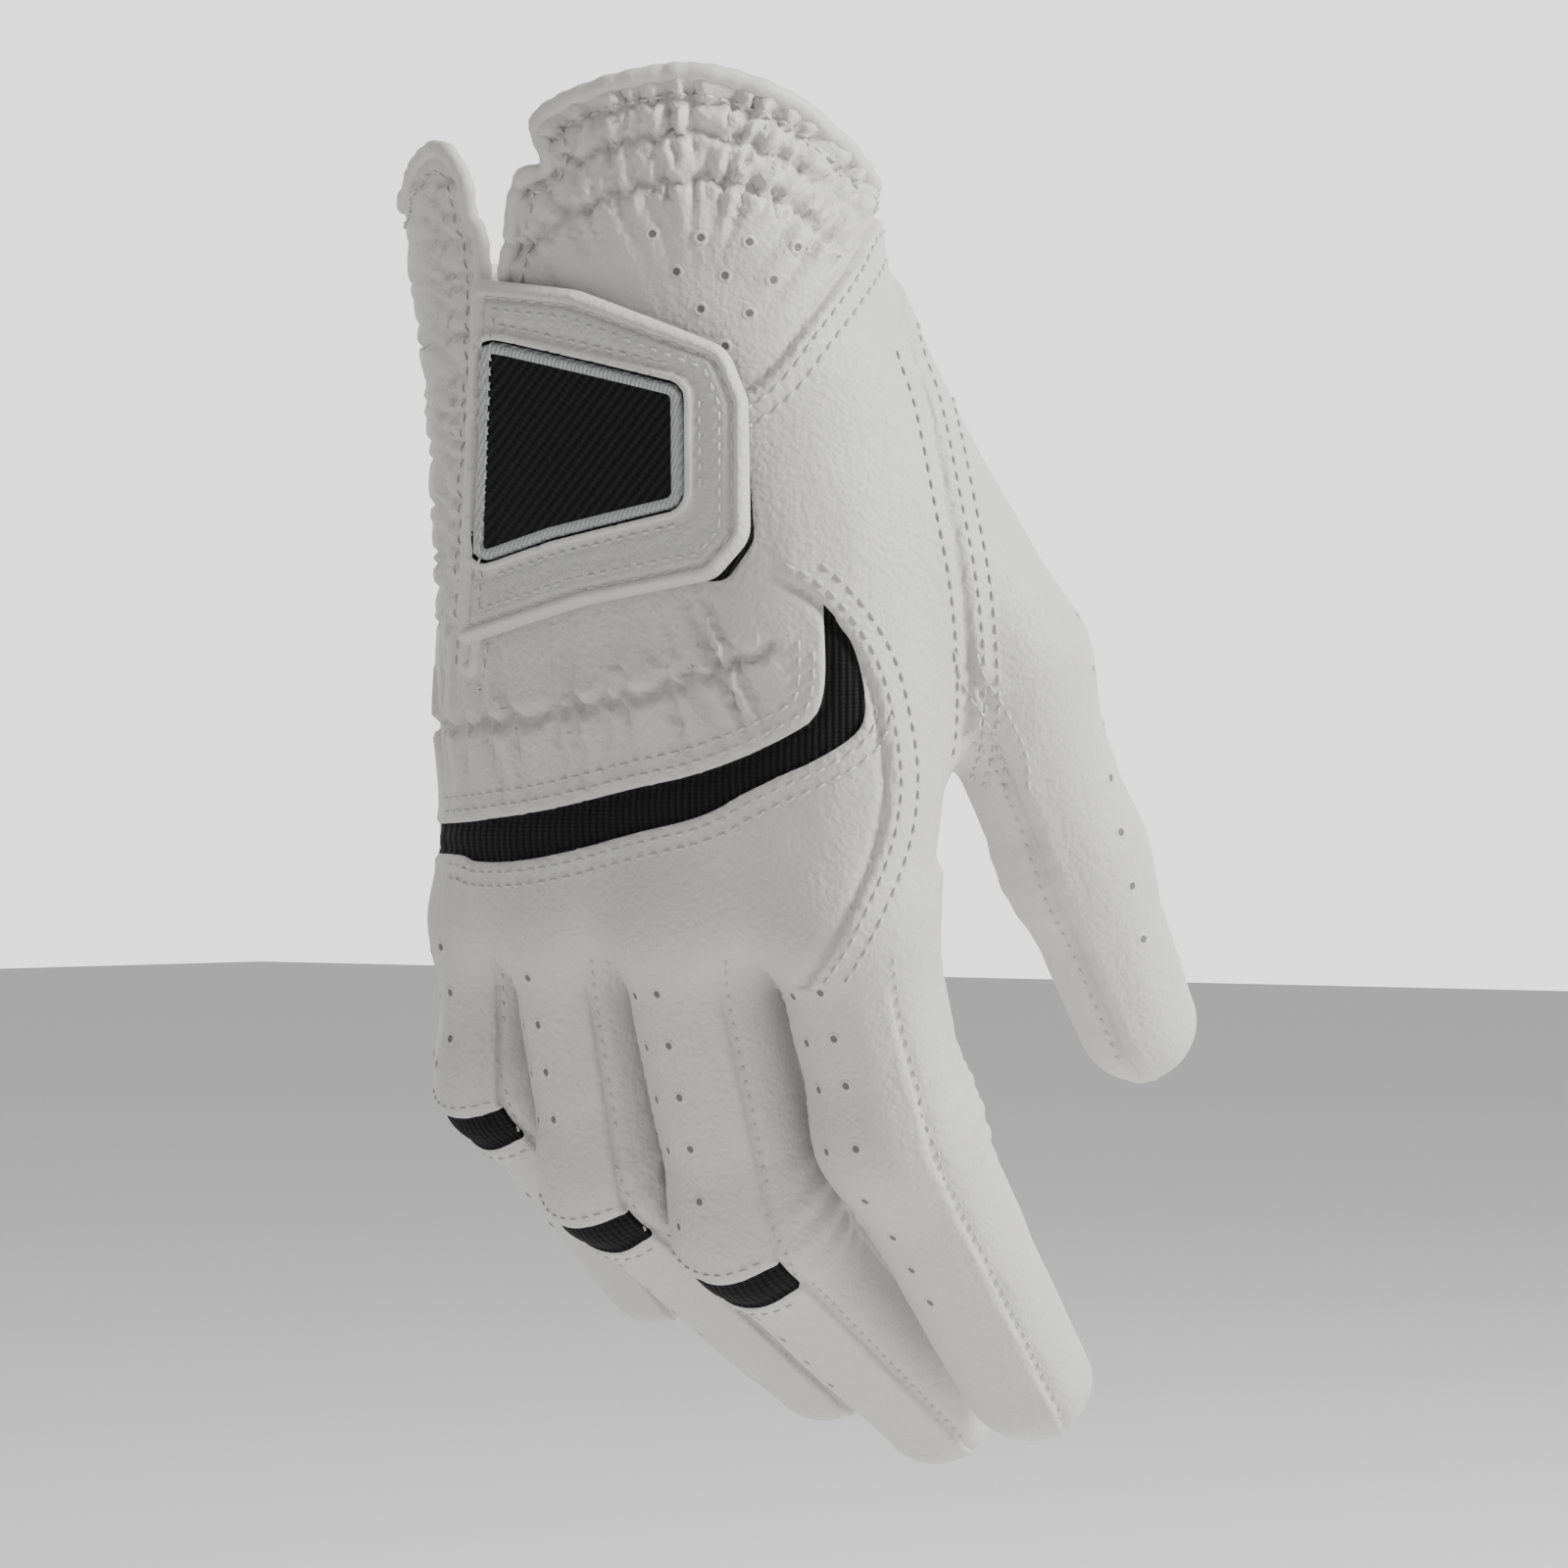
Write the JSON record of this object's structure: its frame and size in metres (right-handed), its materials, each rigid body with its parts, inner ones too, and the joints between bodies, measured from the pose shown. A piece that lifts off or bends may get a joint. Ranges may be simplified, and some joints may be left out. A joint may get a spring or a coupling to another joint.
{
  "type": "golf glove",
  "caption": "Right-hand leather golf glove with a peel-back closure tab, shirred cuff, black stretch inserts across the knuckles and finger joints, and jointed finger and thumb stalls.",
  "frame": {"origin": "the middle of the wrist opening, level with the start of the cuff's flare", "axes": "+Z points out of the wrist opening towards the forearm, +X towards the thumb side, +Y out of the palm; the back of the hand faces -Y"},
  "size_m": [0.0925, 0.0854, 0.1893],
  "materials": {
    "white_leather": "fine pebbled glove leather, off white",
    "palm_leather": "smooth thin glove leather, off white",
    "black_stretch": "ribbed elastic knit, matt black",
    "white_elastic": "flat woven elastic, white",
    "black_twill": "diagonal twill weave, black",
    "grey_satin_thread": "dense satin stitching, light grey",
    "white_lining": "thin knitted lining, white",
    "foam": "thin soft foam",
    "black_hook": "moulded hook tape, black",
    "black_loop": "napped loop tape, black"
  },
  "bodies": {
    "hand": {"palm_panel": "palm_leather", "thumb_side_back_panel": "white_leather", "knuckle_panel": "white_leather", "finger_root_panel": "white_leather", "knuckle_flex_insert": "black_stretch", "cuff_back_panel": "white_leather", "cuff_side_panel": "white_leather", "cuff_binding": "white_leather", "slit_binding": "white_leather", "cuff_elastic": "white_elastic", "side_cuff_elastic": "white_elastic", "knuckle_elastic": "white_elastic", "loop_patch": "black_loop", "thumb_root_panel": "white_leather", "thumb_gusset": "white_leather"},
    "tab": {"tab_cover": "white_leather", "tab_piping": "white_leather", "tab_inlay": "black_twill", "tab_inlay_border": "grey_satin_thread", "tab_lining": "white_lining", "tab_pad": "foam", "tab_hook_patch": "black_hook"},
    "index_base": {"index_back": "white_leather", "index_palm": "palm_leather", "index_sides": "white_leather"},
    "index_tip": {"index_tip_back": "white_leather", "index_tip_palm": "palm_leather", "index_tip_sides": "white_leather"},
    "middle_base": {"middle_back": "white_leather", "middle_palm": "palm_leather", "middle_sides": "white_leather", "middle_flex_strip": "black_stretch"},
    "middle_tip": {"middle_tip_back": "white_leather", "middle_tip_palm": "palm_leather", "middle_tip_sides": "white_leather"},
    "ring_base": {"ring_back": "white_leather", "ring_palm": "palm_leather", "ring_sides": "white_leather", "ring_flex_strip": "black_stretch"},
    "ring_tip": {"ring_tip_back": "white_leather", "ring_tip_palm": "palm_leather", "ring_tip_sides": "white_leather"},
    "little_base": {"little_back": "white_leather", "little_palm": "palm_leather", "little_sides": "white_leather", "little_flex_strip": "black_stretch"},
    "little_tip": {"little_tip_back": "white_leather", "little_tip_palm": "palm_leather", "little_tip_sides": "white_leather"},
    "thumb_base": {"thumb_back": "white_leather", "thumb_palm": "palm_leather", "thumb_sides": "white_leather"},
    "thumb_tip": {"thumb_tip_back": "white_leather", "thumb_tip_palm": "palm_leather", "thumb_tip_sides": "white_leather"}
  },
  "joints": [
    {"name": "tab_peel", "type": "hinge", "parent": "hand", "child": "tab", "pos_m": [-0.00868, -0.0259, -0.0105], "axis": [-0.2175, 0.1645, -0.9621], "range_deg": [0, 140]},
    {"name": "index_knuckle", "type": "hinge", "parent": "hand", "child": "index_base", "pos_m": [0.033, 0.0025, -0.098], "axis": [1, 0, 0], "range_deg": [-20, 15]},
    {"name": "index_bend", "type": "hinge", "parent": "index_base", "child": "index_tip", "pos_m": [0.033, 0.0125, -0.124], "axis": [1, 0, 0], "range_deg": [-18, 15]},
    {"name": "middle_knuckle", "type": "hinge", "parent": "hand", "child": "middle_base", "pos_m": [0.0115, -0.004, -0.098], "axis": [1, 0, 0], "range_deg": [-20, 45]},
    {"name": "middle_bend", "type": "hinge", "parent": "middle_base", "child": "middle_tip", "pos_m": [0.011, 0.009, -0.137], "axis": [1, 0, 0], "range_deg": [-34, 45]},
    {"name": "ring_knuckle", "type": "hinge", "parent": "hand", "child": "ring_base", "pos_m": [-0.0098, -0.0035, -0.098], "axis": [1, 0, 0], "range_deg": [-20, 45]},
    {"name": "ring_bend", "type": "hinge", "parent": "ring_base", "child": "ring_tip", "pos_m": [-0.01, 0.0045, -0.131], "axis": [1, 0, 0], "range_deg": [-36, 45]},
    {"name": "little_knuckle", "type": "hinge", "parent": "hand", "child": "little_base", "pos_m": [-0.029, 0.0015, -0.098], "axis": [1, 0, 0], "range_deg": [-20, 45]},
    {"name": "little_bend", "type": "hinge", "parent": "little_base", "child": "little_tip", "pos_m": [-0.0292, 0.0025, -0.119], "axis": [1, 0, 0], "range_deg": [-40, 45]},
    {"name": "thumb_knuckle", "type": "hinge", "parent": "hand", "child": "thumb_base", "pos_m": [0.043, 0.022, -0.062], "axis": [-0.5348, 0.7682, 0.3518], "range_deg": [-14, 4]},
    {"name": "thumb_bend", "type": "hinge", "parent": "thumb_base", "child": "thumb_tip", "pos_m": [0.045, 0.0353, -0.088], "axis": [-0.5325, 0.7518, 0.3888], "range_deg": [-5, 10]}
  ]
}
